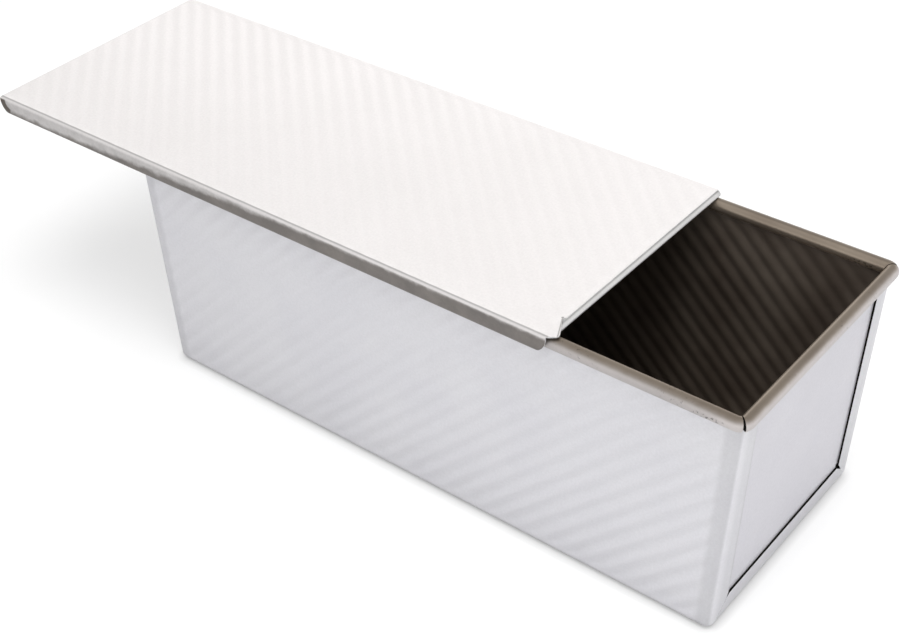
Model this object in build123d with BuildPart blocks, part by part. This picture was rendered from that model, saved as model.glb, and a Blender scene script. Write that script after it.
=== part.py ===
"""Pullman loaf pan: a long straight-sided tin of ribbed sheet steel with a lid that slides on its wired rim.

Millimetres. The origin is the middle of the underside. +X runs along the pan towards the end that the
lid leaves open, +Y across it and +Z up. The lid stands where the photograph shows it, slid part of the
way off over the other end.
"""

import os
from math import atan, ceil, cos, radians, sin, sqrt

from build123d import *

# Sheet and rim
sheet = 0.8
bead_radius = 3.15
wire_radius = 2.25
wire_play = 0.1
bead_slot = 0.6
bead_corner = 3.4
mitre_slit = 0.8
mitre_angle = 45.0

# Pan body, measured over the outside of its walls at the rim
rim_length = 330.0
rim_width = 126.0
pan_height = 121.7
end_taper = 6.3
side_taper = 0.9
fold_radius = 4.0

# Flanges that the trough folds over its end panels
flange_width = 13.5
flange_top_gap = 0.2
notch_reach = 6.5
notch_mouth = 1.6

# End panels, pressed in behind the flanges
seam_play = 0.05
joggle_cover = 2.2
joggle_lean = 30.0
panel_depth_share = 0.94
panel_top_share = 0.32

# Ribs that cross every sheet at half a right angle
rib_pitch = 8.0
rib_height = 0.7
rib_angle = 45.0
wave_shares = (-0.125, 0.125, 0.375, 0.625)
rib_margin = 1.5
floor_rib_start = 3.0
lid_rib_start = 5.3

# Lid
lid_length = 341.2
lid_overhang = 97.2
lid_rest_gap = 0.4
lid_side_play = 0.8
lip_gap = 0.3
lip_width = 3.5
crease_radius = 1.1
rail_radius = 1.6
rail_end_radius = 7.5
rail_setback = 2.2
hem_depth = 8.0
stop_height = 4.0
tab_width = 13.5
tab_reach = 2.5
tab_nose = 4.0
relief_slit = 0.8
relief_hole = 0.9

# How far a cut runs past what it cuts
overrun = 3.0

half_length = rim_length / 2
half_width = rim_width / 2
bead_bore = wire_radius + wire_play
bead_height = pan_height - bead_radius
wall_top = bead_height - bead_bore
flange_top = bead_height - bead_radius - flange_top_gap
corner_cut = bead_corner * (2 - sqrt(2))
corner_mid = corner_cut / 2
end_lean = atan(end_taper / bead_height)
side_lean = atan(side_taper / bead_height)


def half_length_at(z):
    return half_length - end_taper * (1 - z / bead_height)


def half_width_at(z):
    return half_width - side_taper * (1 - z / bead_height)


# Planes on the outside faces of the two long walls and the two ends. In each, x is level, y runs up
# the wall and z points out of the pan.
def side_plane(side):
    return Plane(
        origin=(0, side * half_width_at(0), 0),
        x_dir=(-side, 0, 0),
        z_dir=(0, side * cos(side_lean), -sin(side_lean)),
    )


def end_plane(end):
    return Plane(
        origin=(end * half_length_at(0), 0, 0),
        x_dir=(0, end, 0),
        z_dir=(end * cos(end_lean), 0, -sin(end_lean)),
    )


def facing_down(z):
    """A level plane that faces down, on which ribs lean from +X as they do on the walls' outsides."""
    return Plane(origin=(0, 0, z), x_dir=(-1, 0, 0), z_dir=(0, 0, -1))


def tub(inset):
    """The solid form inside the pan's sheet, inset from its outside: four leaning walls and folded
    edges."""
    low, high = inset, wall_top
    with BuildPart() as form:
        for plane, half_at, depth, mode in (
            (Plane.XZ, half_length_at, half_width, Mode.ADD),
            (Plane.YZ, half_width_at, half_length, Mode.INTERSECT),
        ):
            foot, head = half_at(low) - inset, half_at(high) - inset
            with BuildSketch(plane):
                Polygon((-foot, low), (foot, low), (head, high), (-head, high), align=None)
            extrude(amount=depth + overrun, both=True, mode=mode)
        fillet(form.edges().group_by(Axis.Z)[0] + form.edges().group_by(Axis.Z)[1], fold_radius - inset)
    return form.part


def wall_rib_start(side):
    """The trough is folded from one sheet, so the ribs of the floor run on up the walls."""
    unrolled = half_width_at(0) * cos(radians(rib_angle))
    return (side * floor_rib_start - unrolled) % rib_pitch


def rib_panel(plane, outline, level, rise, fall, start):
    """A sheet pressed into parallel ribs, one of them centred on start. Its outer face rises above
    level by rise on each crest and drops below it by fall in each valley, and the sheet is cut to
    the outline."""
    along = plane.x_dir * cos(radians(rib_angle)) + plane.y_dir * sin(radians(rib_angle))
    across = plane.y_dir * cos(radians(rib_angle)) - plane.x_dir * sin(radians(rib_angle))
    reach = max((plane.origin - plane.from_local_coords(point)).length for point in outline)
    count = ceil(reach / rib_pitch) + 1
    wave = [
        (start + (pitch + share) * rib_pitch, level + height)
        for pitch in range(-count, count)
        for share, height in zip(wave_shares, (rise, rise, -fall, -fall))
    ]

    with BuildPart() as panel:
        with BuildSketch(Plane(origin=plane.origin, x_dir=across, z_dir=along)):
            with BuildLine():
                Polyline(*wave, *[(u, v - sheet) for u, v in reversed(wave)], close=True)
            make_face()
        extrude(amount=reach, both=True)
        with BuildSketch(plane):
            Polygon(*outline, align=None)
        extrude(amount=overrun, both=True, mode=Mode.INTERSECT)
    return panel.part


def window(plane, outline):
    """The opening that a ribbed panel fills."""
    with BuildPart() as opening:
        with BuildSketch(plane):
            Polygon(*outline, align=None)
        extrude(amount=overrun, both=True)
    return opening.part


def side_outline():
    low = fold_radius + rib_margin
    high = bead_height - bead_radius - rib_margin
    ends = [(z, half_length_at(z) - fold_radius - rib_margin) for z in (low, high)]
    return [(-ends[0][1], low), (ends[0][1], low), (ends[1][1], high), (-ends[1][1], high)]


def floor_outline():
    x = half_length_at(0) - fold_radius - rib_margin
    y = half_width_at(0) - fold_radius - rib_margin
    return [(-x, -y), (x, -y), (x, y), (-x, y)]


def bead_run(corner_a, corner_b, slot_at):
    """A stretch of the rolled rim, from the middle of one corner to the middle of the next: the sheet
    curled round the wire, with a slot where the curl's free edge comes back to the wall."""
    a, b = Vector(*corner_a, bead_height), Vector(*corner_b, bead_height)
    run = (b - a).normalized()
    out = run.cross(Vector(0, 0, 1))
    with BuildPart() as bead:
        with BuildLine() as path:
            Polyline(
                a + (run - out) * corner_mid,
                a + run * corner_cut,
                b - run * corner_cut,
                b - (run + out) * corner_mid,
            )
        with BuildSketch(Plane(origin=path.line @ 0, x_dir=(run - out), z_dir=path.line % 0)):
            Circle(bead_radius)
            Circle(bead_bore, mode=Mode.SUBTRACT)
            with Locations((slot_at, -bead_radius)):
                Rectangle(bead_slot, 2 * bead_radius, mode=Mode.SUBTRACT)
        sweep(transition=Transition.RIGHT)
    return bead.part


def corner_slits():
    """The thin cuts that part the trough's bead from the end panels' beads at the four corners."""
    with BuildPart() as slits:
        for x in (-1, 1):
            for y in (-1, 1):
                with BuildSketch(Plane.XY.offset(flange_top)):
                    with Locations((x * (half_length - bead_corner), y * (half_width - bead_corner))):
                        Rectangle(
                            4 * (bead_corner + bead_radius), mitre_slit, rotation=x * y * mitre_angle
                        )
                extrude(amount=2 * bead_radius + overrun)
    return slits.part


def end_wedges(base, rise):
    """The two wedges of space, one at each end, that lie beyond the mitre lines of the rim's corners."""
    reach = half_width + overrun
    with BuildPart() as wedges:
        for end in (-1, 1):
            apex = end * (half_length - half_width)
            far = end * (half_length + overrun)
            with BuildSketch(Plane.XY.offset(base)):
                Polygon((apex, 0), (far, reach), (far, -reach), align=None)
            extrude(amount=rise)
    return wedges.part


# The trough is one sheet: the floor, both long walls with their beads, and the flanges that fold
# round the corners over the end panels.
outer_form = tub(0)
inner_form = tub(sheet)
side_panels = [
    rib_panel(side_plane(side), side_outline(), 0, rib_height / 2, rib_height / 2, wall_rib_start(side))
    for side in (-1, 1)
]
# The floor rests on its crests, which face down.
floor_panel = rib_panel(facing_down(0), floor_outline(), 0, 0, rib_height, floor_rib_start)
side_windows = [window(side_plane(side), side_outline()) for side in (-1, 1)]
floor_window = window(Plane.XY, floor_outline())
long_beads = [
    bead_run((side * half_length, side * half_width), (-side * half_length, side * half_width), -bead_slot)
    for side in (-1, 1)
]
slits = corner_slits()
flange_ends = end_wedges(flange_top, 2 * bead_radius)

with BuildPart() as pan_trough:
    add(outer_form)
    add(inner_form, mode=Mode.SUBTRACT)
    # Inside the flanges the ends stand open.
    low, high = flange_width, wall_top + overrun
    with BuildSketch(Plane.YZ):
        Polygon(
            (half_width_at(low) - flange_width, low),
            (half_width_at(high) - flange_width, high),
            (flange_width - half_width_at(high), high),
            (flange_width - half_width_at(low), low),
            align=None,
        )
    extrude(amount=half_length + overrun, both=True, mode=Mode.SUBTRACT)
    # A notch lets the side flange and the bottom flange meet at each lower corner.
    with BuildSketch(Plane.YZ):
        y = half_width_at(low) - flange_width
        for side in (-1, 1):
            Polygon(
                (side * y, low + notch_mouth),
                (side * (y - notch_mouth), low + notch_mouth),
                (side * (y - notch_mouth), low),
                (side * (y + notch_reach), low - notch_reach),
                align=None,
            )
    extrude(amount=half_length + overrun, both=True, mode=Mode.SUBTRACT)
    add(flange_ends, mode=Mode.SUBTRACT)
    for opening in side_windows:
        add(opening, mode=Mode.SUBTRACT)
    add(floor_window, mode=Mode.SUBTRACT)
    for panel in side_panels:
        add(panel)
    add(floor_panel)
    for bead in long_beads:
        add(bead)
    add(slits, mode=Mode.SUBTRACT)
pan_trough.part.label = "pan_trough"


# Each end panel is a separate pressing: a border that lies flat against the inside of the flanges, a
# field sunk inwards behind them, and its own stretch of the rolled rim.
panel_depth = bead_radius * panel_depth_share - 2 * sheet - seam_play
panel_top = bead_height - bead_radius * panel_top_share


def end_panel(end):
    border = end_plane(end).offset(-sheet - seam_play)
    up = 1 / cos(end_lean)
    bottom = (fold_radius + seam_play) * up
    top = panel_top * up + overrun
    field_low = (flange_width - joggle_cover) * up
    lower, upper = half_width_at(0), half_width_at(bead_height)
    rim = fold_radius + seam_play
    cover = flange_width - joggle_cover
    bead = bead_run(
        (end * half_length, -end * half_width),
        (end * half_length, end * half_width),
        bead_bore - bead_slot,
    )
    with BuildPart() as panel:
        with BuildSketch(border):
            Polygon(
                (rim - lower, bottom), (lower - rim, bottom), (upper - rim, top), (rim - upper, top),
                align=None,
            )
        extrude(amount=-sheet)
        # The sunk field, first its inner face and then the pocket behind the flanges.
        for plane, edge, mode in (
            (border.offset(-sheet), cover - sheet, Mode.ADD),
            (border, cover, Mode.SUBTRACT),
        ):
            with BuildSketch(plane):
                Polygon(
                    (edge - lower, field_low + edge - cover),
                    (lower - edge, field_low + edge - cover),
                    (upper - edge, top + overrun),
                    (edge - upper, top + overrun),
                    align=None,
                )
            extrude(amount=-panel_depth, taper=joggle_lean, mode=mode)
        # The field runs up into the bead's inner side, the border stops under the bead.
        with BuildSketch(Plane.XY.offset(panel_top)):
            with Locations((end * half_length, 0)):
                Rectangle(2 * end_taper + 2 * overrun, rim_width)
        extrude(amount=2 * overrun + bead_radius, mode=Mode.SUBTRACT)
        with BuildSketch(Plane.XY.offset(wall_top)):
            for side in (-1, 1):
                with Locations((end * half_length, side * half_width)):
                    Rectangle(2 * end_taper + 2 * overrun, 2 * flange_width)
        extrude(amount=bead_height, mode=Mode.SUBTRACT)
        add(bead)
        add(slits, mode=Mode.SUBTRACT)
    return panel.part


end_panel_left = end_panel(-1)
end_panel_left.label = "end_panel_left"
end_panel_right = end_panel(1)
end_panel_right.label = "end_panel_right"


# The rim wire is a closed loop inside the beads.
with BuildPart() as rim_wire:
    with BuildLine(Plane.XY.offset(bead_height)) as loop:
        x, y, cut = half_length, half_width, corner_cut
        quarter = [(x - cut, -y), (x, cut - y), (x, y - cut), (x - cut, y)]
        Polyline((0, -y), *quarter, *[(-x, -y) for x, y in quarter], (0, -y))
    with BuildSketch(Plane(origin=loop.line @ 0, z_dir=loop.line % 0)):
        Circle(wire_radius)
    sweep(transition=Transition.RIGHT)
rim_wire.part.label = "rim_wire"


# The lid is one sheet: a ribbed top, a rail along each long edge that hooks under the bead, a hem at
# the end that leads and a turned-down stop at the other.
lid_left = -half_length - lid_overhang
lid_right = lid_left + lid_length
lid_half_width = half_width + bead_radius + lid_side_play + sheet
lid_top = pan_height + lid_rest_gap + sheet + rib_height
lid_bottom = bead_height - bead_radius - lip_gap - sheet
rail_right = lid_right - rail_setback
rail_height = lid_top - lid_bottom

top_plane = Plane.XY.offset(lid_top)
top_outline = [
    (lid_left + rib_margin, rib_margin - lid_half_width),
    (lid_right - hem_depth, rib_margin - lid_half_width),
    (lid_right - hem_depth, lid_half_width - rib_margin),
    (lid_left + rib_margin, lid_half_width - rib_margin),
]
under_outline = [(-x, y) for x, y in top_outline]
lid_panel = rib_panel(
    facing_down(lid_top),
    under_outline,
    sheet + rib_height / 2,
    rib_height / 2,
    rib_height / 2,
    lid_rib_start,
)
lid_window = window(top_plane, top_outline)
hem_end = lid_half_width - tab_width

with BuildPart() as sliding_lid:
    with BuildSketch(Plane.YZ.offset(lid_left)) as channel:
        with Locations((0, (lid_top + lid_bottom) / 2)):
            Rectangle(2 * lid_half_width, rail_height)
        fillet(channel.vertices().group_by(Axis.Y)[-1], crease_radius)
        fillet(channel.vertices().group_by(Axis.Y)[0], rail_radius)
    extrude(amount=rail_right - lid_left)
    with BuildSketch(Plane.YZ.offset(lid_left)) as bore:
        with Locations((0, (lid_top + lid_bottom) / 2)):
            Rectangle(2 * (lid_half_width - sheet), rail_height - 2 * sheet)
        fillet(bore.vertices().group_by(Axis.Y)[-1], crease_radius - sheet)
        fillet(bore.vertices().group_by(Axis.Y)[0], rail_radius - sheet)
        with Locations((0, lid_bottom)):
            Rectangle(2 * (lid_half_width - lip_width), rail_height)
    extrude(amount=rail_right - lid_left, mode=Mode.SUBTRACT)
    # The rails' lower corners are rounded off at both ends.
    with BuildSketch(Plane.XZ):
        for corner, way in ((lid_left, 1), (rail_right, -1)):
            with Locations((corner, lid_bottom)):
                Rectangle(2 * rail_end_radius, 2 * rail_end_radius)
            with Locations((corner + way * rail_end_radius, lid_bottom + rail_end_radius)):
                Circle(rail_end_radius, mode=Mode.SUBTRACT)
    extrude(amount=lid_half_width + overrun, both=True, mode=Mode.SUBTRACT)
    # Beyond the rails the top runs on to the hem, with a loose tab at each corner.
    with BuildSketch(top_plane):
        nose = lid_half_width - crease_radius
        for side in (-1, 1):
            Polygon(
                (rail_right - overrun, 0),
                (rail_right - overrun, side * nose),
                (rail_right, side * nose),
                (lid_right + tab_reach, side * (nose - tab_nose / 2)),
                (lid_right + tab_reach, side * (nose - tab_nose)),
                (lid_right, side * (nose - 2 * tab_nose)),
                (lid_right, 0),
                align=None,
            )
    extrude(amount=-sheet)
    # The hem is folded flat under the top.
    with BuildSketch(top_plane.offset(-sheet)):
        with Locations((lid_right - hem_depth / 2, 0)):
            Rectangle(hem_depth, 2 * hem_end)
    extrude(amount=-sheet)
    # The stop that meets the pan's far end when the lid is shut.
    with BuildSketch(top_plane):
        with Locations((lid_left + sheet / 2, 0)):
            Rectangle(sheet, 2 * (lid_half_width - crease_radius))
    extrude(amount=-stop_height)
    add(lid_window, mode=Mode.SUBTRACT)
    add(lid_panel)
    # A slit with a drilled end frees each tab from the hem.
    with BuildSketch(top_plane):
        for side in (-1, 1):
            inner = Vector(lid_right - 2 * rail_setback, side * hem_end)
            outer = Vector(lid_right + tab_reach, side * (nose - tab_nose))
            with Locations(inner):
                Circle(relief_hole)
            with BuildLine():
                Line(inner, outer + (outer - inner))
            trace(line_width=relief_slit)
    extrude(amount=-2 * sheet - rib_height, mode=Mode.SUBTRACT)
sliding_lid.part.label = "sliding_lid"


os.makedirs("parts", exist_ok=True)
for piece in (pan_trough.part, end_panel_left, end_panel_right, rim_wire.part, sliding_lid.part):
    export_step(piece, f"parts/{piece.label}.step")
    print(piece.label, round(piece.volume), len(piece.solids()), piece.is_valid)
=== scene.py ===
"""Looks for the pullman loaf pan: ribbed satin steel, a taupe release coating, and a white studio floor.

Metres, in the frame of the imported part: +X towards the open end, +Y to the far long wall, +Z up.
"""

from math import atan2, cos, pi, radians, sin, sqrt

import bpy
import numpy as np
from mathutils import Matrix, Vector


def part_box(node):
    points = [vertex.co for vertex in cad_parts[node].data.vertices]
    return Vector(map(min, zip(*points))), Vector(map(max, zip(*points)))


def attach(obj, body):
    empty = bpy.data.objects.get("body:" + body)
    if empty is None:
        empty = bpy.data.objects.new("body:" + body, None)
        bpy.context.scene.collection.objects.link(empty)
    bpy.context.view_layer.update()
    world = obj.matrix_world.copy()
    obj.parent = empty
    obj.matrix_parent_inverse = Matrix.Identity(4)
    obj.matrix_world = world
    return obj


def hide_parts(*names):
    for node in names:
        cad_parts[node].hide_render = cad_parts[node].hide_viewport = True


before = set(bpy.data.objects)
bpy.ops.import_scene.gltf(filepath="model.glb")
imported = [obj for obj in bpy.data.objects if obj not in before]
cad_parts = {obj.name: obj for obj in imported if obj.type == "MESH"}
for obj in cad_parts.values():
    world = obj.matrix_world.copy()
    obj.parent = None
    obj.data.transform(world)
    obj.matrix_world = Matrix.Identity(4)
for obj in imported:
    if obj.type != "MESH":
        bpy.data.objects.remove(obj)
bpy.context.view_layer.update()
scene = bpy.context.scene
mm = 0.001

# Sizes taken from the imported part
_, trough_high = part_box("pan_trough")
_, panel_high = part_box("end_panel_right")
lid_low, lid_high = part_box("sliding_lid")

# Sheet and rim
sheet = 0.8 * mm
bead_radius = 3.15 * mm
bead_corner = 3.4 * mm
bead_height = trough_high.z - bead_radius
half_length = panel_high.x - bead_radius
half_width = trough_high.y - bead_radius
end_taper = 6.3 * mm
side_taper = 0.9 * mm
fold_radius = 4.0 * mm
wall_top_share = 0.78
wall_top = bead_height - bead_radius * wall_top_share

# Flanges folded over the end panels, and the notches that part them
flange_width = 12.9 * mm
near_slit_start = 12.1 * mm
far_slit_start = 9.6 * mm
slit_width = 0.6 * mm
notch_mouth = 2.6 * mm

# Beads: the groove where the curl meets the wall, and the slit where two of them meet
seam_depth = 0.5 * mm
seam_spread = 0.09
long_seam_angle = radians(-62)
end_seam_angle = radians(-125)
corner_gap = 0.4 * mm
slit_lean = 0.34 * mm
slit_lean_share = 0.7
cut_end_share = 0.02

# End panels, sunk behind the flanges
panel_gap = 0.05 * mm
joggle_cover = 5.0 * mm
joggle_width = 0.9 * mm
crevice = 0.12 * mm
panel_belly = 0.15 * mm
panel_foot_gap = 0.4 * mm
panel_side_gap = 0.6 * mm
panel_top_gap = 0.8 * mm
panel_step = 2.0 * mm
joggle_margin = 0.2 * mm

# Ribs at 45 degrees across every sheet, a swing to either side of its middle
rib_pitch = 8.0 * mm
rib_swing = 0.35 * mm
wall_rib_phase = -0.375
rib_fade = (-0.5 * mm, 4.0 * mm)
foot_fade = (1.5 * mm, 7.0 * mm)
floor_fade = 6.0 * mm
lid_rib_swing = 0.28 * mm
lid_rib_phase = -0.1625

# Lid: a flat top, and rails that go round under the beads
lid_top = lid_high.z
lid_bottom = lid_low.z
lid_half_width = lid_high.y
left_margin = 1.2 * mm
lid_left = lid_low.x + left_margin
crease_radius = 1.1 * mm
rail_radius = 1.6 * mm
lip_width = 3.5 * mm
end_turn = 1.0 * mm
crest_margin = 3.0 * mm
crest_start = 0.3 * mm

# The lid's right end: a hem, and a loose tab at the front corner, parted by a slit
tab_reach = 2.5 * mm
rail_setback = 2.2 * mm
hem_width = 2.6 * mm
lid_right = lid_high.x - tab_reach
rail_right = lid_right - rail_setback
hem_crease = lid_right - hem_width
rail_end_radius = 7.5 * mm
hem_depth = 8.0 * mm
hem_radius = 0.7 * mm
hem_drop = 0.15 * mm
hem_roll = (radians(20), radians(200))
hem_setback = 1.2 * mm
hem_round = 4.0 * mm
groove_width = 1.0 * mm
groove_depth = 0.5 * mm
groove_shares = ((-0.5, 0.0), (-0.1, 0.9), (0.3, 1.0), (0.7, 0.6))
slit_place = 15.0 * mm
slit_setback = 3.9 * mm
slit_inner = lid_right - slit_setback
slit_gap = 0.5 * mm
slit_slope = 1.9
slit_angle = radians(26)
hole_setback = 4.1 * mm
hole_offset = 0.05 * mm
hole_x = lid_right - hole_setback
hole_y = slit_place - lid_half_width + hole_offset

grid_step = 1.0 * mm
flange_step = 1.2 * mm
fold_steps = 7


def smoothstep(edge_a, edge_b, value):
    t = np.clip((value - edge_a) / (edge_b - edge_a), 0, 1)
    return t * t * (3 - 2 * t)


def half_length_at(z):
    return half_length - end_taper * (1 - z / bead_height)


def half_width_at(z):
    return half_width - side_taper * (1 - z / bead_height)


def span(a, b, step=grid_step):
    """Evenly spread values from a to b, both included, about one step apart."""
    return np.linspace(a, b, max(2, int(round(abs(b - a) / step)) + 1))


def ripple(turns):
    return np.cos(2 * pi * turns)


def mesh_object(name, grids, materials, body):
    """One object from one or more grids of points. Each grid is an array of rows and columns of points,
    with a mask of the quads that are left out and the material index of each quad, or None for either."""
    verts, faces, paints, start = [], [], [], 0
    for points, holes, paint in grids:
        rows, cols = points.shape[:2]
        index = start + np.arange(rows * cols).reshape(rows, cols)
        quads = np.stack([index[:-1, :-1], index[1:, :-1], index[1:, 1:], index[:-1, 1:]], axis=-1)
        wanted = np.ones(quads.shape[:2], bool) if holes is None else ~holes
        faces.append(quads[wanted])
        paints.append((np.zeros(wanted.shape, int) if paint is None else paint)[wanted])
        verts.append(points.reshape(-1, 3))
        start += rows * cols
    verts, faces = np.concatenate(verts), np.concatenate(faces)
    mesh = bpy.data.meshes.new(name)
    mesh.vertices.add(len(verts))
    mesh.vertices.foreach_set("co", verts.astype(np.float32).ravel())
    mesh.loops.add(faces.size)
    mesh.loops.foreach_set("vertex_index", faces.astype(np.int32).ravel())
    mesh.polygons.add(len(faces))
    mesh.polygons.foreach_set("loop_start", np.arange(0, faces.size, 4, dtype=np.int32))
    mesh.polygons.foreach_set("use_smooth", np.ones(len(faces), bool))
    mesh.update(calc_edges=True)
    mesh.validate()
    obj = bpy.data.objects.new(name, mesh)
    scene.collection.objects.link(obj)
    for material in materials:
        mesh.materials.append(material)
    mesh.polygons.foreach_set("material_index", np.concatenate(paints).astype(np.int32))
    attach(obj, body)
    return obj


def thicken(obj, inner, edge):
    """Gives a surface the sheet's thickness behind it, with its own materials inside and on the edge."""
    modifier = obj.modifiers.new("sheet", "SOLIDIFY")
    modifier.thickness = sheet
    modifier.offset = -1
    modifier.use_even_offset = False
    modifier.use_quality_normals = True
    modifier.material_offset = inner
    modifier.material_offset_rim = edge


def grid_normals(points):
    """Unit normals of a grid of points, and zero where its rows or columns meet in one point."""
    normal = np.cross(np.gradient(points, axis=0), np.gradient(points, axis=1))
    length = np.linalg.norm(normal, axis=-1, keepdims=True)
    return np.divide(normal, length, out=np.zeros_like(normal), where=length > 0)


# Materials

# Noises: waves to the metre, detail and roughness
cloud_noise = (28.0, 3.0, 0.55)
grain_noise = (900.0, 2.0, 0.6)
sheen_noise = (60.0, 3.0, 0.5)
grit_noise = (1500.0, 2.0, 0.5)
coat_noise = (40.0, 3.0, 0.5)
peel_noise = (700.0, 2.0, 0.5)
worn_noise = (900.0, 2.0, 0.5)
bead_edge_noise = (120.0, 4.0, 0.6)
pit_noise = (650.0, 1.0, 0.5)
patch_noise = (26.0, 2.0, 0.5)
drift_noise = (130.0, 5.0, 0.62)
smudge_noise = (90.0, 5.0, 0.7)
paper_noise = (3.0, 2.0, 0.5)
noise_range = (0.3, 0.7)


def new_material(name):
    material = bpy.data.materials.new(name)
    material.use_nodes = True
    tree = material.node_tree
    tree.nodes.clear()
    output = tree.nodes.new("ShaderNodeOutputMaterial")
    shader = tree.nodes.new("ShaderNodeBsdfPrincipled")
    tree.links.new(shader.outputs["BSDF"], output.inputs["Surface"])
    return material, tree, shader


def object_point(tree):
    return tree.nodes.new("ShaderNodeTexCoord").outputs["Object"]


def object_axes(tree):
    """The X, Y and Z of a point in the part's frame."""
    split = tree.nodes.new("ShaderNodeSeparateXYZ")
    tree.links.new(object_point(tree), split.inputs["Vector"])
    return split.outputs


def noise(tree, scale, detail, roughness):
    """A noise value from 0 to 1 in the piece's own coordinates."""
    texture = tree.nodes.new("ShaderNodeTexNoise")
    texture.inputs["Scale"].default_value = scale
    texture.inputs["Detail"].default_value = detail
    texture.inputs["Roughness"].default_value = roughness
    tree.links.new(object_point(tree), texture.inputs["Vector"])
    return texture.outputs["Fac"]


def remap(tree, value, from_low, from_high, to_low, to_high, kind="LINEAR"):
    node = tree.nodes.new("ShaderNodeMapRange")
    node.interpolation_type = kind
    node.inputs["From Min"].default_value = from_low
    node.inputs["From Max"].default_value = from_high
    node.inputs["To Min"].default_value = to_low
    node.inputs["To Max"].default_value = to_high
    tree.links.new(value, node.inputs["Value"])
    return node.outputs["Result"]


def rise(tree, value, start, end, kind="LINEAR"):
    """0 as far as start, and 1 from end on."""
    return remap(tree, value, start, end, 0.0, 1.0, kind)


def mottle(tree, grain, low, high):
    """A noise that mostly runs from low to high."""
    return remap(tree, noise(tree, *grain), *noise_range, low, high)


def ragged(tree, grain, reach):
    """A noise that moves an edge by up to reach to either side."""
    return remap(tree, noise(tree, *grain), 0.0, 1.0, -reach, reach)


def math_node(tree, operation, a, b=0.0):
    node = tree.nodes.new("ShaderNodeMath")
    node.operation = operation
    for socket, value in zip(node.inputs, (a, b)):
        if isinstance(value, (int, float)):
            socket.default_value = value
        else:
            tree.links.new(value, socket)
    return node.outputs["Value"]


def product(tree, first, *others):
    for other in others:
        first = math_node(tree, "MULTIPLY", first, other)
    return first


def total(tree, a, b):
    return math_node(tree, "ADD", a, b)


def less(tree, a, b):
    return math_node(tree, "SUBTRACT", a, b)


def magnitude(tree, value):
    return math_node(tree, "ABSOLUTE", value)


def larger(tree, a, b=0.0):
    return math_node(tree, "MAXIMUM", a, b)


def distance(tree, a, b):
    """How far a point lies from the origin, from its two coordinates."""
    return math_node(tree, "SQRT", total(tree, product(tree, a, a), product(tree, b, b)))


def mix_colour(tree, factor, a, b, blend="MIX"):
    node = tree.nodes.new("ShaderNodeMix")
    node.data_type = "RGBA"
    node.blend_type = blend
    sockets = {s.identifier: s for s in node.inputs}
    for key, value in (("Factor_Float", factor), ("A_Color", a), ("B_Color", b)):
        if isinstance(value, (int, float)):
            sockets[key].default_value = value
        elif isinstance(value, tuple):
            sockets[key].default_value = (*value, 1.0)
        else:
            tree.links.new(value, sockets[key])
    return next(s for s in node.outputs if s.identifier == "Result_Color")


def tint(tree, shader, tone):
    """Multiplies the shader's colour by a tone."""
    base = shader.inputs["Base Color"].links[0].from_socket
    tree.links.new(mix_colour(tree, 1.0, base, tone, "MULTIPLY"), shader.inputs["Base Color"])


def bump(tree, shader, grain, depth, strength):
    node = tree.nodes.new("ShaderNodeBump")
    node.inputs["Distance"].default_value = depth
    node.inputs["Strength"].default_value = strength
    tree.links.new(noise(tree, *grain), node.inputs["Height"])
    tree.links.new(node.outputs["Normal"], shader.inputs["Normal"])


# Bare steel

steel_light = (0.727, 0.722, 0.75)
steel_shade = (0.707, 0.702, 0.735)
# The end panels' steel: a little lighter than the walls', as painted light on the end faces
panel_light = (0.75, 0.738, 0.782)
panel_shade = (0.73, 0.72, 0.765)
edge_light = (0.72, 0.715, 0.72)
edge_shade = (0.62, 0.62, 0.62)
steel_metallic = 0.4
steel_rough = (0.36, 0.45)
cloud_range = (0.35, 0.65)
grain_tone = (0.97, 1.03)
grit_depth = 0.01 * mm
grit_strength = 0.5


def steel_colour(tree, light, shade):
    cloud = rise(tree, noise(tree, *cloud_noise), *cloud_range)
    grain = mottle(tree, grain_noise, *grain_tone)
    return mix_colour(tree, 1.0, mix_colour(tree, cloud, light, shade), grain, "MULTIPLY")


def steel_material(name, light, shade):
    """Satin aluminised sheet: soft clouds of tone, a fine grain and a little unevenness in its sheen."""
    material, tree, shader = new_material(name)
    tree.links.new(steel_colour(tree, light, shade), shader.inputs["Base Color"])
    shader.inputs["Metallic"].default_value = steel_metallic
    tree.links.new(mottle(tree, sheen_noise, *steel_rough), shader.inputs["Roughness"])
    bump(tree, shader, grit_noise, grit_depth, grit_strength)
    return material, tree, shader


# Long walls and flanges: painted shade and painted highlight in bands beside the upright folds, inwards
# from the wall's plane or past its end, painted shade along the lowest fold, and painted light that rises a
# little towards the top
fold_painted_shade = 0.13
painted_shade_side = (2.6 * mm, 1.6 * mm)
painted_shade_end = (-5.0 * mm, -1.5 * mm)
fold_painted_highlight = 0.08
painted_highlight_side = (8.0 * mm, 4.0 * mm)
painted_highlight_end = (2.0 * mm, 3.0 * mm)
foot_painted_shade = 0.2
foot_band = (0.5 * mm, 3.0 * mm)
wall_painted_light_rise = (0.98, 1.05)


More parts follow.
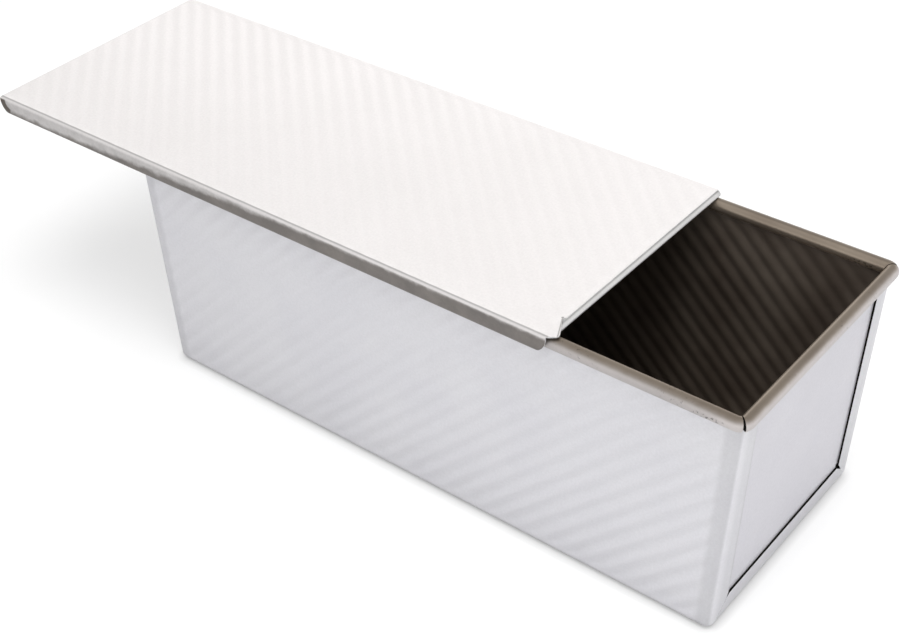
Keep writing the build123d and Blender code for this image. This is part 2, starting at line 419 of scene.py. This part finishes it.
def wall_material(name):
    """Sheet of the long walls and flanges, with a painted highlight on the end side of each upright fold,
    painted shade on its other side and along the lowest fold, and painted light that rises a little towards
    the top."""
    material, tree, shader = steel_material(name, steel_light, steel_shade)
    axes = object_axes(tree)
    out = magnitude(tree, axes["Y"])
    along = less(tree, magnitude(tree, axes["X"]), product(tree, axes["Z"], end_taper / bead_height))
    wall_end = half_length - end_taper - fold_radius

    # Painted shade in a band on the wall just before each upright fold
    on_side = rise(tree, out, *(half_width - edge for edge in painted_shade_side))
    by_fold = rise(tree, along, *(wall_end + edge for edge in painted_shade_end), "SMOOTHSTEP")
    painted_shade = product(tree, on_side, by_fold, fold_painted_shade)
    # Painted highlight on the fold and on the flange past it
    on_end = rise(tree, out, *(half_width - edge for edge in painted_highlight_side), "SMOOTHSTEP")
    past_fold = rise(tree, along, *(wall_end + edge for edge in painted_highlight_end))
    painted_highlight = product(tree, on_end, less(tree, 1.0, on_side), past_fold, fold_painted_highlight)
    # Painted shade along the lowest fold
    foot = remap(tree, axes["Z"], *foot_band, foot_painted_shade, 0.0, "SMOOTHSTEP")
    tone = less(tree, less(tree, total(tree, 1.0, painted_highlight), painted_shade), foot)
    # Painted light that rises a little towards the top of the wall
    tint(tree, shader, product(tree, tone, remap(tree, axes["Z"], 0.0, bead_height, *wall_painted_light_rise)))
    return material


# Release coating

taupe = (0.175, 0.145, 0.118)
taupe_deep = (0.105, 0.082, 0.066)
coat_metallic = 0.25
coat_rough = 0.38
peel_depth = 0.03 * mm
worn_depth = 0.02 * mm
peel_strength = 0.4
# Painted shade for the narrow gaps and the edges beside them
gap_light = (0.01, 0.009, 0.008)
gap_shade = (0.005, 0.005, 0.004)
gap_rough = 0.9
gap_specular = 0.1


def clouded(tree, light, deep):
    return mix_colour(tree, mottle(tree, coat_noise, 0.0, 1.0), light, deep)


def coating_material(name):
    """The dull taupe release coating, with a faint orange-peel surface."""
    material, tree, shader = new_material(name)
    tree.links.new(clouded(tree, taupe, taupe_deep), shader.inputs["Base Color"])
    shader.inputs["Metallic"].default_value = coat_metallic
    shader.inputs["Roughness"].default_value = coat_rough
    bump(tree, shader, peel_noise, peel_depth, peel_strength)
    return material


def painted_shade_material(name):
    """Painted shade, near black and without sheen: on cut edges where the narrow gaps show, and on what
    lies deep in those gaps.
    """
    material, tree, shader = new_material(name)
    tree.links.new(clouded(tree, gap_light, gap_shade), shader.inputs["Base Color"])
    shader.inputs["Roughness"].default_value = gap_rough
    shader.inputs["Specular IOR Level"].default_value = gap_specular
    return material


def coat_over_steel(tree, shader, cover, steel_tones, coat_tones, metallic, rough):
    """Steel under the coating, where cover is 1, with bare steel where it is 0."""
    colour = mix_colour(tree, cover, steel_colour(tree, *steel_tones), clouded(tree, *coat_tones))
    tree.links.new(colour, shader.inputs["Base Color"])
    tree.links.new(remap(tree, cover, 0.0, 1.0, steel_metallic, metallic), shader.inputs["Metallic"])
    shader.inputs["Roughness"].default_value = rough
    bump(tree, shader, worn_noise, worn_depth, peel_strength)


# Beads

bead_tones = ((0.565, 0.528, 0.519), (0.515, 0.481, 0.472))
bead_coat_tones = ((0.295, 0.245, 0.195), (0.245, 0.2, 0.158))
bead_metallic = 0.7
bead_rough = 0.3
long_cover_rise = (0.9 * mm, 3.3 * mm)
long_least_cover = 0.05
end_cover_rise = (1.0 * mm, 3.3 * mm)
end_least_cover = 0.0
cover_ragged = 0.35 * mm
cover_lean = 3.0
# Painted highlight along the inner shoulder of the beads
shoulder_band = (0.4 * mm, 1.5 * mm)
shoulder_painted_highlight = (0.9, 1.3)
# Painted light on the beads' bare steel near the corners
corner_painted_light = 0.25
corner_band = (18.0 * mm, 2.0 * mm)
pit_range = (0.63, 0.69)
pit_dark = 0.62
patch_range = (0.5, 0.62)
patch_cover = 0.6
worn_place = 151.0 * mm
worn_reach = 5.0 * mm
worn_height = 0.8 * mm
worn_more = 0.1


def bead_pits(tree, axes):
    """Tiny spots worn through the coat: in sparse patches, and closer together low on the outside of
    the long beads, near their corners."""
    patches = remap(tree, noise(tree, *patch_noise), *patch_range, 0.0, patch_cover)
    off = magnitude(tree, less(tree, magnitude(tree, axes["X"]), worn_place))
    by_corner = remap(tree, off, worn_reach, 2 * worn_reach, 1.0, 0.0)
    low = rise(tree, axes["Z"], bead_height + worn_height, bead_height)
    worn = product(tree, by_corner, low)
    speck = total(tree, noise(tree, *pit_noise), product(tree, worn, worn_more))
    return product(tree, rise(tree, speck, *pit_range), larger(tree, patches, worn), pit_dark)


def bead_material(name, axis, line, cover_rise, least_cover):
    """A bead whose top and inner side wear the coating, with the least cover low on its outside, a painted
    highlight along its inner shoulder and painted light on its bare steel near the corners.
    Its middle line runs at a distance of line from the pan's own, along the axis given."""
    material, tree, shader = new_material(name)
    axes = object_axes(tree)
    inward = larger(tree, less(tree, line, magnitude(tree, axes[axis])))
    level = total(tree, axes["Z"], ragged(tree, bead_edge_noise, cover_ragged))
    level = total(tree, level, product(tree, inward, cover_lean))
    low, high = (bead_height + edge for edge in cover_rise)
    cover = remap(tree, level, low, high, least_cover, 1.0, "SMOOTHSTEP")
    coat_over_steel(tree, shader, cover, bead_tones, bead_coat_tones, bead_metallic, bead_rough)
    shoulder_highlight = remap(tree, inward, *shoulder_band, *shoulder_painted_highlight, "SMOOTHSTEP")
    tone = product(tree, less(tree, 1.0, bead_pits(tree, axes)), shoulder_highlight)
    near, far = (half_length - edge for edge in corner_band)
    corner = remap(tree, magnitude(tree, axes["X"]), near, far, 0.0, corner_painted_light, "SMOOTHSTEP")
    corner = product(tree, corner, less(tree, 1.0, cover))
    tint(tree, shader, product(tree, tone, total(tree, 1.0, corner)))
    return material


# Lid

# The lid's steel: warmer than the walls' in its own colour, and lighter as painted light on its lit top
lid_tones_with_painted_light = ((0.873, 0.842, 0.833), (0.857, 0.827, 0.817))
lid_rough = 0.4
# Painted light: the top a little darker towards the front
lid_painted_light_fall = (0.97, 1.025)
# Painted shade along the left border, where the edge turns down
border_width = 1.6 * mm
border_painted_shade = 0.9
rail_mask_band = (1.4 * mm, 0.7 * mm)
drift_run = (-230 * mm, -20 * mm)
drift_rise = (lid_bottom + 2.7 * mm, lid_top - 1.1 * mm)
drift_ragged = 2.4 * mm
drift_blur = 1.6 * mm
drift_cover = 0.8
crescent_inner = (4.2 * mm, 3.4 * mm)
crescent_run = (8.0 * mm, 6.0 * mm)
# Painted shade along the front crease, on the rails and on their outer faces
crease_line = 1.0 * mm
crease_blur = 0.9 * mm
crease_painted_shade = 0.48
rail_painted_shade = 0.78
rail_band = (2.0 * mm, 0.8 * mm)
corner_painted_shade = 0.86
corner_edge = (0.7 * mm, 0.1 * mm)
smudge_dark = 0.16
# Painted shade in the slit and in the relief hole
slit_line = (0.12 * mm, 0.45 * mm)
slit_painted_shade = 0.5
slit_fade = 1.0 * mm
hole_line = (0.3 * mm, 0.8 * mm)
hole_painted_shade = 0.6
# The hem's steel, painted darker than the lid's top as shade on the strip that turns down
hem_painted_shade_tones = ((0.66, 0.65, 0.645), (0.58, 0.57, 0.565))
hem_groove_offset = 0.3 * mm
hem_groove_blur = 1.2 * mm
# Painted shade in a line along the hem's crease
hem_groove_painted_shade = 0.62
hem_end_band = (5.0 * mm, 2.0 * mm)
hem_end_tone = 0.8


def slit_painted_shade_tone(tree, axes):
    """Painted shade where the slit beside the lid's front tab is cut, and where the round relief hole at
    its end lies; the hole itself is only painted.
    """
    x, y = less(tree, axes["X"], hole_x), less(tree, axes["Y"], hole_y)
    off = total(tree, product(tree, x, cos(slit_angle)), product(tree, y, sin(slit_angle)))
    line = remap(tree, magnitude(tree, off), *slit_line, slit_painted_shade, 0.0)
    before = remap(tree, y, -slit_fade, 0.0, 1.0, 0.0)
    hole = remap(tree, distance(tree, x, y), *hole_line, hole_painted_shade, 0.0)
    return less(tree, 1.0, larger(tree, product(tree, line, before), hole))


def rail_cover(tree, axes, on_rail):
    """The coating's share on the rails: a drift that rises from the lower edge and takes up more of
    the height towards the right, and a crescent that follows the rounded left end."""
    drift = remap(tree, axes["X"], *drift_run, *drift_rise, "SMOOTHSTEP")
    edge = total(tree, drift, ragged(tree, drift_noise, drift_ragged))
    depth = less(tree, edge, axes["Z"])
    cover = remap(tree, depth, -drift_blur, drift_blur, 0.0, drift_cover, "SMOOTHSTEP")
    across = larger(tree, less(tree, lid_left + rail_end_radius, axes["X"]))
    down = larger(tree, less(tree, lid_bottom + rail_end_radius, axes["Z"]))
    inner, outer = (rail_end_radius - edge for edge in crescent_inner)
    crescent = rise(tree, distance(tree, across, down), inner, outer)
    by_end = rise(tree, axes["X"], *(lid_left + edge for edge in crescent_run))
    return larger(tree, product(tree, cover, on_rail), product(tree, crescent, on_rail, by_end))


def lid_tone(tree, axes, on_rail):
    """Painted shade in a line along the front crease, on the rails and their outer faces, on the left
    border where the edge turns down and in the slit, painted light that leaves the top a little darker
    towards the front, and smudges on the rails."""
    crease = magnitude(tree, total(tree, axes["Y"], lid_half_width - crease_line))
    painted_shade = remap(tree, crease, 0.0, crease_blur, crease_painted_shade, 1.0, "SMOOTHSTEP")
    rail = remap(tree, axes["Z"], *(lid_top - edge for edge in rail_band), rail_painted_shade, 1.0)
    near, far = (lid_half_width - edge for edge in corner_edge)
    corner = remap(tree, magnitude(tree, axes["Y"]), near, far, 1.0, corner_painted_shade)
    fall = remap(tree, axes["Y"], -lid_half_width, lid_half_width, *lid_painted_light_fall)
    smudge = mottle(tree, smudge_noise, -smudge_dark, smudge_dark)
    smudge = total(tree, product(tree, smudge, on_rail), 1.0)
    border = remap(tree, axes["X"], lid_left, lid_left + border_width, border_painted_shade, 1.0)
    return product(tree, painted_shade, rail, corner, fall, smudge, border, slit_painted_shade_tone(tree, axes))


def lid_material(name):
    """Bare steel on the lid's top, and coating that has drifted up its rails."""
    material, tree, shader = new_material(name)
    axes = object_axes(tree)
    on_rail = remap(tree, axes["Z"], *(lid_top - edge for edge in rail_mask_band), 1.0, 0.0)
    cover = rail_cover(tree, axes, on_rail)
    coat_over_steel(tree, shader, cover, lid_tones_with_painted_light, (taupe, taupe_deep), coat_metallic, lid_rough)
    # The tint holds painted shade and painted light on the lid
    tint(tree, shader, lid_tone(tree, axes, on_rail))
    return material


def hem_material(name):
    """The hem: bare steel painted darker than the lid's top as shade on the strip that turns down, painted
    shade in a line along its crease, the slit's painted shade, and a darker far end.
    """
    material, tree, shader = steel_material(name, *hem_painted_shade_tones)
    axes = object_axes(tree)
    off = magnitude(tree, less(tree, axes["X"], hem_crease + hem_groove_offset))
    groove = remap(tree, off, 0.0, hem_groove_blur, hem_groove_painted_shade, 1.0, "SMOOTHSTEP")
    near, far = (lid_half_width - edge for edge in hem_end_band)
    far_end = remap(tree, axes["Y"], near, far, 1.0, hem_end_tone)
    tint(tree, shader, product(tree, groove, slit_painted_shade_tone(tree, axes), far_end))
    return material


outer_steel = wall_material("outer_steel")
panel_steel, _, _ = steel_material("panel_steel", panel_light, panel_shade)
lid_steel = lid_material("lid_steel")
hem_steel = hem_material("hem_steel")
edge_steel, _, _ = steel_material("edge_steel", edge_light, edge_shade)
# The wire shows only through the slits, so it is painted near black as their shade
wire_steel = painted_shade_material("wire_steel")
coating = coating_material("coating")
shade_black = painted_shade_material("shade_black")
front_bead = bead_material("front_bead", "Y", half_width, long_cover_rise, long_least_cover)
end_bead = bead_material("end_bead", "X", half_length, end_cover_rise, end_least_cover)


# Pan trough


def trough_columns():
    """The sheet's path from one end flange to the other: for each column, its place along the straight
    wall as a share, its reach past the straight wall and its distance inwards on the end face."""
    angles = np.linspace(0, pi / 2, fold_steps + 1)[1:]
    side = [(1.0, fold_radius * sin(a), fold_radius * (1 - cos(a))) for a in angles]
    side += [(1.0, fold_radius, inward) for inward in span(fold_radius, flange_width, flange_step)[1:]]
    opposite = [(-share, -reach, inward) for share, reach, inward in reversed(side)]
    straight = [(share, 0.0, 0.0) for share in span(-1, 1, grid_step / half_length)]
    return np.array(opposite + straight + side)


def notch_half_width(inward, start):
    """Half the width, at a distance inwards, of the notch that parts two flanges from start onwards."""
    opening = np.clip((inward - start) / (flange_width - start), 0, 1)
    return (slit_width + (notch_mouth - slit_width) * opening) / 2 * (inward > start)


def trough_rows(inward):
    """The sheet's path down one wall, over the floor and up the other, moved inwards on the end face.
    Gives places across and up, and which rows of quads lie in the near and in the far lower fold."""
    low = np.maximum(fold_radius, inward)
    wall_share = np.linspace(1, 0, int(round((bead_height - fold_radius) / grid_step)) + 1)[:, None]
    floor_share = np.linspace(0, 1, int(round(2 * half_width_at(0) / grid_step)) + 1)[:, None]
    angles = np.linspace(0, pi / 2, fold_steps + 1)[1:-1, None]
    near_gap, far_gap = (notch_half_width(inward, start) for start in (near_slit_start, far_slit_start))

    near_z, far_z = (low + gap + (wall_top - low - gap) * wall_share for gap in (near_gap, far_gap))
    near_y, far_y = (half_width_at(z) - inward for z in (near_z, far_z))
    floor_edge = half_width_at(low) - low
    fold_y = floor_edge + (low - inward) * np.cos(angles)
    fold_z = low - (low - inward) * np.sin(angles)
    floor_y = -floor_edge + near_gap + (2 * floor_edge - near_gap - far_gap) * floor_share
    floor_z = inward + 0 * floor_y
    y = np.concatenate([-near_y, -fold_y, floor_y, fold_y[::-1], far_y[::-1]])
    z = np.concatenate([near_z, fold_z, floor_z, fold_z[::-1], far_z[::-1]])
    near_fold = np.zeros(len(y) - 1, bool)
    near_fold[len(wall_share) - 1 : len(wall_share) + len(angles)] = True
    return y, z, near_fold, near_fold[::-1]


def make_trough():
    """Floor, long walls and flanges, with the ribs of one unrolled sheet."""
    columns = trough_columns()
    y, z, near_fold, far_fold = trough_rows(columns[None, :, 2])
    flat_length = half_length_at(z) - fold_radius
    x = columns[:, 0] * flat_length + columns[:, 1]
    points = np.stack([x, y, z], axis=-1)

    clear_of_foot = smoothstep(*foot_fade, z)
    clear_of_corner = smoothstep(0, floor_fade, half_width - fold_radius - np.abs(y))
    clear_of_fold = smoothstep(*rib_fade, flat_length - np.abs(x))
    unrolled = np.sign(y) * z + np.clip(y, -half_width_at(0), half_width_at(0))
    sunk = rib_swing * (1 - ripple((x + unrolled) / sqrt(2) / rib_pitch + wall_rib_phase))
    sunk = sunk * np.maximum(clear_of_foot, clear_of_corner) * clear_of_fold
    points = points - grid_normals(points) * sunk[..., None]

    inward = np.maximum(columns[:-1, 2], columns[1:, 2])
    holes = near_fold[:, None] & (inward > near_slit_start)
    holes |= far_fold[:, None] & (inward > far_slit_start)
    trough = mesh_object(
        "trough_sheet", [(points, holes, None)], [outer_steel, coating, shade_black], "pan"
    )
    # The sheet's edges, at the flanges and the slits, are painted near black as the shade in the gaps
    # beside them
    thicken(trough, 1, 2)
    return trough


# Beads

corner_steps = 9
run_steps = 24
ring_steps = 64


def bead_path(corner_a, corner_b):
    """Points along the rolled rim from the middle of one corner to the middle of the next, with the
    direction out from the pan at each."""
    a, b = Vector((*corner_a, bead_height)), Vector((*corner_b, bead_height))
    run = (b - a).normalized()
    out = run.cross(Vector((0, 0, 1)))
    angles = np.linspace(0, pi / 4 - atan2(corner_gap / 2, bead_corner), corner_steps)

    def corner(point, way):
        """The quarter round at one end, from the straight outwards."""
        centre = point - run * bead_corner * way - out * bead_corner
        radials = [run * way * sin(angle) + out * cos(angle) for angle in angles]
        return [(centre + radial * bead_corner, radial) for radial in radials]

    straight = [
        (a.lerp(b, share) + run * bead_corner * (1 - 2 * share), out)
        for share in np.linspace(0, 1, run_steps)[1:-1]
    ]
    return corner(a, -1)[::-1] + straight + corner(b, 1)


def make_bead(name, corner_a, corner_b, seam_angle, material):
    """One stretch of the rolled rim, with the shallow groove where the curl's edge meets the wall and
    its cut ends turned in."""
    angles = np.linspace(0, 2 * pi, ring_steps + 1)[:-1]
    radius = bead_radius - seam_depth * np.exp(-(((angles - seam_angle) / seam_spread) ** 2))
    places = bead_path(corner_a, corner_b)
    up = Vector((0, 0, 1))
    run = (places[-1][0] - places[0][0]).normalized()

    def ring(place, share, drawn_back):
        """Points round the bead, drawn back along its run, more so underneath."""
        centre, radial = place
        points = [
            centre
            + (radial * cos(t) + up * sin(t)) * float(r) * share
            + run * drawn_back * (1 - slit_lean_share * sin(t))
            for t, r in zip(angles, radius)
        ]
        return [*points, points[0]]

    last = len(places) - 1
    body = [ring(place, 1.0, slit_lean * ((i == 0) - (i == last))) for i, place in enumerate(places)]
    cut_ends = [
        [ring(places[0], share, slit_lean) for share in (cut_end_share, 1.0)],
        [ring(places[last], share, -slit_lean) for share in (1.0, cut_end_share)],
    ]
    # The cut ends are painted near black, as the shade in the slit between two beads
    dark = np.ones((1, len(angles)), int)
    grids = [(np.array(body), None, None)] + [(np.array(rows), None, dark) for rows in cut_ends]
    return mesh_object(name, grids, [material, shade_black], "pan")


trough = make_trough()
for side, word in ((-1, "front"), (1, "back")):
    make_bead(
        f"long_bead_{word}",
        (side * half_length, side * half_width),
        (-side * half_length, side * half_width),
        long_seam_angle,
        front_bead,
    )
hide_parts("pan_trough")


# End panels

joggle_steps = 7


def make_panel(end, word):
    """The sunk field, its joggled border behind the flanges and the stretch where it runs up into the
    inner side of its bead."""
    low = fold_radius + panel_foot_gap
    top = bead_height - panel_top_gap
    width = half_width - fold_radius - panel_side_gap
    joggle = flange_width - joggle_cover
    fine = np.linspace(joggle - joggle_margin, joggle + joggle_width + joggle_margin, joggle_steps)
    fine = np.concatenate([fine, [flange_width - joggle_margin, flange_width]])
    start = flange_width + panel_step
    y = np.concatenate([[-width], -half_width + fine, span(-half_width + start, 0, panel_step)])
    y = np.concatenate([y, -y[-2::-1]])
    z = np.concatenate([[low], fine, span(start, top, panel_step)])
    z, y = np.meshgrid(z, y, indexing="ij")
    inward = np.minimum(z, half_width_at(z) - np.abs(y))
    sunk = smoothstep(0, joggle_width, inward - joggle)
    # Behind the flanges the border is painted near black, as the shade in the pocket under them.
    middle = (inward[:-1, :-1] + inward[1:, 1:]) / 2
    paint = np.where(middle < flange_width - joggle_margin / 2, 2, 0)
    belly = np.sin(pi * np.clip((z - joggle) / (top - joggle), 0, 1)) * np.cos(pi * y / half_width / 2)
    depth = sheet + panel_gap + crevice * sunk - panel_belly * belly * sunk
    points = np.stack([end * (half_length_at(z) - depth), y, z], axis=-1)
    if end > 0:
        points, paint = points[:, ::-1], paint[:, ::-1]
    panel = mesh_object(
        f"end_field_{word}",
        [(points, None, paint)],
        [panel_steel, coating, shade_black, coating],
        "pan",
    )
    thicken(panel, 1, 1)
    return panel


for end, word in ((-1, "left"), (1, "right")):
    panel = make_panel(end, word)
    make_bead(
        f"end_bead_{word}",
        (end * half_length, -end * half_width),
        (end * half_length, end * half_width),
        end_seam_angle,
        end_bead,
    )
    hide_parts(f"end_panel_{word}")


# Lid

bend_steps = 6
hem_steps = 16
hem_columns = 51
edge_columns = 4
on_top_share = 0.9

# The tab's outline: places across from the front rail, and reaches to the right
tab_rise = 1.2 * mm
tab_step = 0.8 * mm
tab_peak = 3.6 * mm
tab_nose = 2.0 * mm
tab_shoulder = 5.4 * mm
tab_slant = 1.4 * mm
back_corner = 1.5 * mm
back_draw = 0.4 * mm
slit_step = 0.1 * mm


def rail_profile():
    """Half of the lid's section, from the middle of the top out to the tip of the lip, as places across
    and up."""
    flat = lid_half_width - crease_radius
    angles = np.linspace(0, pi / 2, bend_steps)[1:]
    path = [(y, lid_top) for y in span(0, flat)]
    path += [(flat + crease_radius * sin(a), lid_top - crease_radius * (1 - cos(a))) for a in angles]
    path += [(lid_half_width, z) for z in span(lid_top - crease_radius, lid_bottom + rail_radius)[1:]]
    path += [
        (lid_half_width - rail_radius * (1 - cos(a)), lid_bottom + rail_radius * (1 - sin(a)))
        for a in angles
    ]
    lip = span(lid_half_width - rail_radius, lid_half_width - lip_width)[1:]
    path += [(y, lid_bottom) for y in lip]
    return np.array(path).T


def rounded_end(z):
    """How far a rail's end is drawn back at a height, by its rounded lower corner."""
    rise_share = np.clip((z - lid_bottom) / rail_end_radius, 0, 1)
    return rail_end_radius * (1 - np.sqrt(np.clip(1 - (1 - rise_share) ** 2, 0, 1)))


def top_end(y):
    """Where the lid's top ends towards the right at a place across: at the outline of the loose tab at
    the front corner, or at the hem's crease. At the back corner the hem runs right across."""
    width = 2 * lid_half_width
    outline = (
        (0, rail_right),
        (tab_rise, rail_right + tab_step),
        (tab_peak, lid_right + tab_nose),
        (tab_shoulder, lid_right + tab_slant),
        (slit_place, slit_inner),
        (slit_place + slit_step, hem_crease),
        (width - back_corner, hem_crease),
        (width, hem_crease - back_draw),
    )
    return np.interp(lid_half_width + y, *zip(*outline))


def make_lid():
    """Ribbed top and both rails. The left end's edge is turned down by the radius of end_turn."""
    y, z = rail_profile()
    y, z = np.concatenate([-y[::-1], y[1:]]), np.concatenate([z[::-1], z[1:]])
    on_top = z > lid_top - crease_radius * on_top_share
    back = rounded_end(z)
    left = lid_left + back
    right = np.where(on_top, top_end(y), rail_right - back)
    step = grid_step / (rail_right - lid_left)
    share = np.concatenate([np.arange(edge_columns) / edge_columns * step, span(step, 1, step)])
    x = left + (right - left) * share[:, None]
    y, z = y + 0 * x, z + 0 * x
    swing = lid_rib_swing * (1 - ripple((x + y) / sqrt(2) / rib_pitch + lid_rib_phase))
    inside = smoothstep(0, crest_margin, lid_half_width - crease_radius - np.abs(y))
    inside *= smoothstep(crest_start, crest_margin, x - lid_left)
    inside *= smoothstep(0, crest_margin, slit_inner - x)
    turned = np.clip(end_turn - (x - lid_left), 0, end_turn)
    droop = (end_turn - np.sqrt(end_turn**2 - turned**2)) * np.clip(1 - (lid_top - z) / crease_radius, 0, 1)
    points = np.stack([x, y, z - swing * inside * on_top - droop], axis=-1)
    lid = mesh_object(
        "lid_sheet", [(points, None, None)], [lid_steel, coating, edge_steel], "lid"
    )
    thicken(lid, 1, 2)
    return lid


def make_hem():
    """The folded hem beyond the crease: it steps down, rolls over at its nose and returns underneath.
    A slit parts it from the front tab, and its back end is rounded."""
    path = [(hem_crease + on * groove_width, lid_top - down * groove_depth) for on, down in groove_shares]
    for a in np.linspace(*hem_roll, hem_steps):
        nose, fall = hem_radius * (sin(a) - 1), hem_radius * (1 - cos(a))
        path.append((lid_right + nose, lid_top - hem_drop - fall))
    path.append((lid_right - hem_depth, lid_top - hem_drop - 2 * hem_radius))
    x, z = np.array(path).T[..., None]
    front = slit_place - lid_half_width + slit_gap - np.maximum(x - slit_inner, 0) * slit_slope
    back = lid_half_width - hem_setback - np.maximum(x - hem_crease, 0) ** 2 / hem_round
    y = front + (back - front) * np.linspace(0, 1, hem_columns)
    points = np.stack([x + 0 * y, y, z + 0 * y], axis=-1)
    return mesh_object(
        "lid_hem", [(points, None, None)], [hem_steel, coating, edge_steel], "lid"
    )


lid = make_lid()
make_hem()
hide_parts("sliding_lid")

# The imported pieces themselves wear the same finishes
node_materials = {
    "rim_wire": wire_steel,
    "pan_trough": outer_steel,
    "end_panel_left": outer_steel,
    "end_panel_right": outer_steel,
    "sliding_lid": outer_steel,
}
for node, material in node_materials.items():
    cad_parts[node].data.materials.clear()
    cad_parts[node].data.materials.append(material)


# Camera, fitted to the photograph's edges

frame_width_px = 900
focal_px = 1622.2
camera_yaw = radians(-39.38)
camera_pitch = radians(36.95)
camera_roll = radians(-1.97)
camera_place = Vector((372.6, -487.4, 520.6)) * mm
clip_range = (0.01, 50.0)


def make_camera():
    forward = Vector(
        (sin(camera_yaw) * cos(camera_pitch), cos(camera_yaw) * cos(camera_pitch), -sin(camera_pitch))
    )
    level = Vector((cos(camera_yaw), -sin(camera_yaw), 0))
    upward = level.cross(forward)
    right = level * cos(camera_roll) + upward * sin(camera_roll)
    upward = upward * cos(camera_roll) - level * sin(camera_roll)
    data = bpy.data.cameras.new("camera")
    data.lens = focal_px / frame_width_px * data.sensor_width
    data.clip_start, data.clip_end = clip_range
    camera = bpy.data.objects.new("camera", data)
    scene.collection.objects.link(camera)
    columns = zip(right, upward, -forward, camera_place)
    camera.matrix_world = Matrix((*columns, (0, 0, 0, 1)))
    scene.camera = camera


# Floor, light and background

floor_size = 8.0
floor_rough = 0.9
paper_tone = (0.99, 1.0)
floor_bounce = 0.74
floor_seen = 0.52
floor_lift = 0.5
far_lift = 0.8
lift_run = (0.4, 1.6)
contact_shadow_reach = 5.0 * mm
contact_shadow_share = 0.4
sky_low = 1.06
sky_high = 0.51
sky_band = (0.1, 0.7)
overhead_place = (0.21, -0.16, 1.2)
overhead_size = 0.8
overhead_power = 11.5
spot_radius = 0.09
wall_spot_place = (-0.5, -0.34, 0.24)
wall_spot_target = (0.2, -0.063, 0.045)
wall_spot_spread = radians(14)
wall_spot_power = 5.0
lid_spot_place = (0.35, 0.35, 0.285)
lid_spot_target = (-0.34, 0.0, 0.12)
lid_spot_spread = radians(16)
lid_spot_power = 13.0


def make_floor():
    """White paper. Seen by the camera it is lifted to white outside the object's shadow, and an ambient
    occlusion node paints a contact shadow on it close to the object.
    """
    material, tree, shader = new_material("floor_paper")
    path = tree.nodes.new("ShaderNodeLightPath")
    tone = remap(tree, path.outputs["Is Camera Ray"], 0.0, 1.0, floor_bounce, floor_seen)
    paper = mix_colour(tree, 1.0, (1, 1, 1), mottle(tree, paper_noise, *paper_tone), "MULTIPLY")
    # Painted contact shadow close to the object, from an ambient occlusion node
    painted_contact_shadow = tree.nodes.new("ShaderNodeAmbientOcclusion")
    painted_contact_shadow.inputs["Distance"].default_value = contact_shadow_reach
    near = remap(tree, painted_contact_shadow.outputs["AO"], 0.0, 1.0, 1 - contact_shadow_share, 1.0)
    colour = mix_colour(tree, 1.0, paper, product(tree, tone, near), "MULTIPLY")
    tree.links.new(colour, shader.inputs["Base Color"])
    shader.inputs["Roughness"].default_value = floor_rough
    shader.inputs["Specular IOR Level"].default_value = 0.0
    shader.inputs["Emission Color"].default_value = (1, 1, 1, 1)
    reach = tree.nodes.new("ShaderNodeVectorMath")
    reach.operation = "LENGTH"
    tree.links.new(object_point(tree), reach.inputs[0])
    lift = remap(tree, reach.outputs["Value"], *lift_run, floor_lift, far_lift, "SMOOTHSTEP")
    lift = product(tree, lift, path.outputs["Is Camera Ray"], near)
    tree.links.new(lift, shader.inputs["Emission Strength"])
    bpy.ops.mesh.primitive_plane_add(size=floor_size, location=(0, 0, 0))
    floor = bpy.context.object
    floor.name = "floor"
    floor.data.materials.append(material)


def aimed_lamp(name, kind, place, target, power):
    data = bpy.data.lights.new(name, kind)
    data.energy = power
    lamp = bpy.data.objects.new(name, data)
    scene.collection.objects.link(lamp)
    lamp.location = place
    lamp.rotation_mode = "QUATERNION"
    lamp.rotation_quaternion = (Vector(target) - Vector(place)).to_track_quat("-Z", "Y")
    return lamp


def soft_lamp(name, place, target, size, power):
    """A wide soft lamp that leaves no highlight of its own on the beads."""
    lamp = aimed_lamp(name, "AREA", place, target, power)
    lamp.data.shape = "RECTANGLE"
    lamp.data.size = lamp.data.size_y = size
    lamp.visible_glossy = False


def spot_lamp(name, place, target, spread, power):
    """A low spot that grazes one sheet, so that its ribs show up where the spot falls."""
    lamp = aimed_lamp(name, "SPOT", place, target, power)
    lamp.data.spot_size = spread
    lamp.data.spot_blend = 1.0
    lamp.data.shadow_soft_size = spot_radius


def make_world():
    """A pale studio: lit walls all round and a dimmer ceiling."""
    world = bpy.data.worlds.new("studio")
    scene.world = world
    world.use_nodes = True
    tree = world.node_tree
    tree.nodes.clear()
    output = tree.nodes.new("ShaderNodeOutputWorld")
    back = tree.nodes.new("ShaderNodeBackground")
    split = tree.nodes.new("ShaderNodeSeparateXYZ")
    tree.links.new(tree.nodes.new("ShaderNodeTexCoord").outputs["Generated"], split.inputs["Vector"])
    strength = remap(tree, split.outputs["Z"], *sky_band, sky_low, sky_high, "SMOOTHSTEP")
    back.inputs["Color"].default_value = (1, 1, 1, 1)
    tree.links.new(strength, back.inputs["Strength"])
    tree.links.new(back.outputs["Background"], output.inputs["Surface"])


make_camera()
make_floor()
make_world()
soft_lamp("overhead", overhead_place, (0, 0, 0), overhead_size, overhead_power)
spot_lamp("wall_spot", wall_spot_place, wall_spot_target, wall_spot_spread, wall_spot_power)
spot_lamp("lid_spot", lid_spot_place, lid_spot_target, lid_spot_spread, lid_spot_power)
scene.view_settings.view_transform = "Standard"
